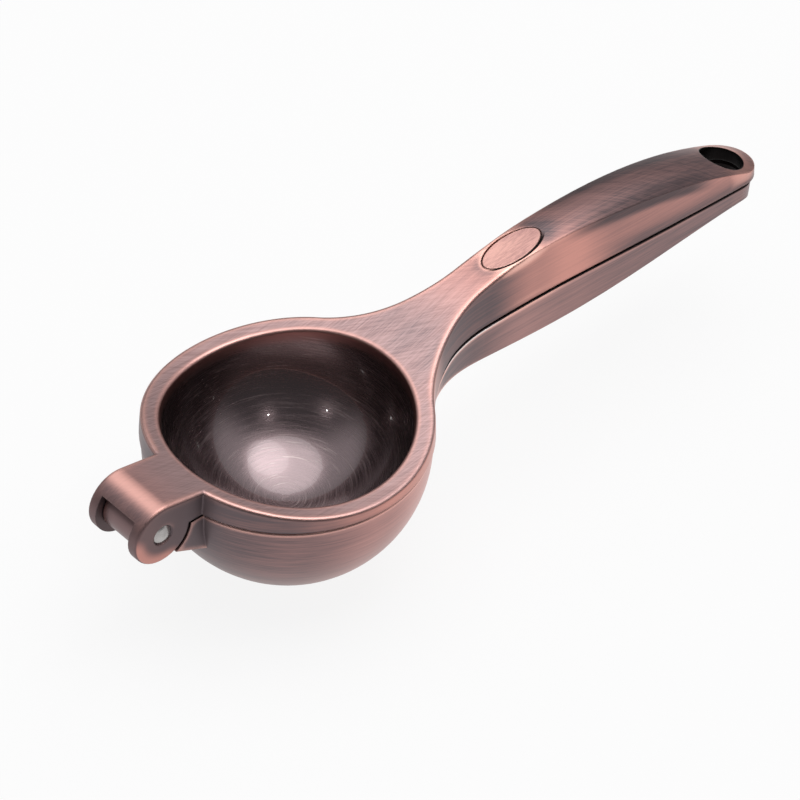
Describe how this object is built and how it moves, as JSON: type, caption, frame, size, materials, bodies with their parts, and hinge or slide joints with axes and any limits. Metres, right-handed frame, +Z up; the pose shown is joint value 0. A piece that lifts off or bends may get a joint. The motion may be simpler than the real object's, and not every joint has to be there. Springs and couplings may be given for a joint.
{
  "type": "lemon squeezer",
  "caption": "Hinged hand lemon squeezer: a drilled cup lever and a domed press lever on a cross pin, with ribbed hollow handles, an oval inlay and a hanging hole.",
  "frame": {"origin": "middle of the flat under the cup, on the axis of the cup and bowl", "axes": "+X from the hinge to the handle ends, +Y across, +Z up from the cup's base to the bowl's mouth"},
  "size_m": [0.2092, 0.0708, 0.0541],
  "materials": {
    "plated_casting": "antique copper plate, brushed, with darkened hollows",
    "pin_steel": "satin, domed ends",
    "badge_copper": "plain satin copper plate"
  },
  "bodies": {
    "cup_body": {"cup_lever": "plated_casting"},
    "press_body": {"press_lever": "plated_casting", "hinge_pin": "pin_steel", "handle_badge": "badge_copper"}
  },
  "joints": [
    {"name": "press_hinge", "type": "hinge", "parent": "cup_body", "child": "press_body", "pos_m": [-0.046, 0, 0.03692], "axis": [0, -1, 0], "range_deg": [0, 140]}
  ]
}
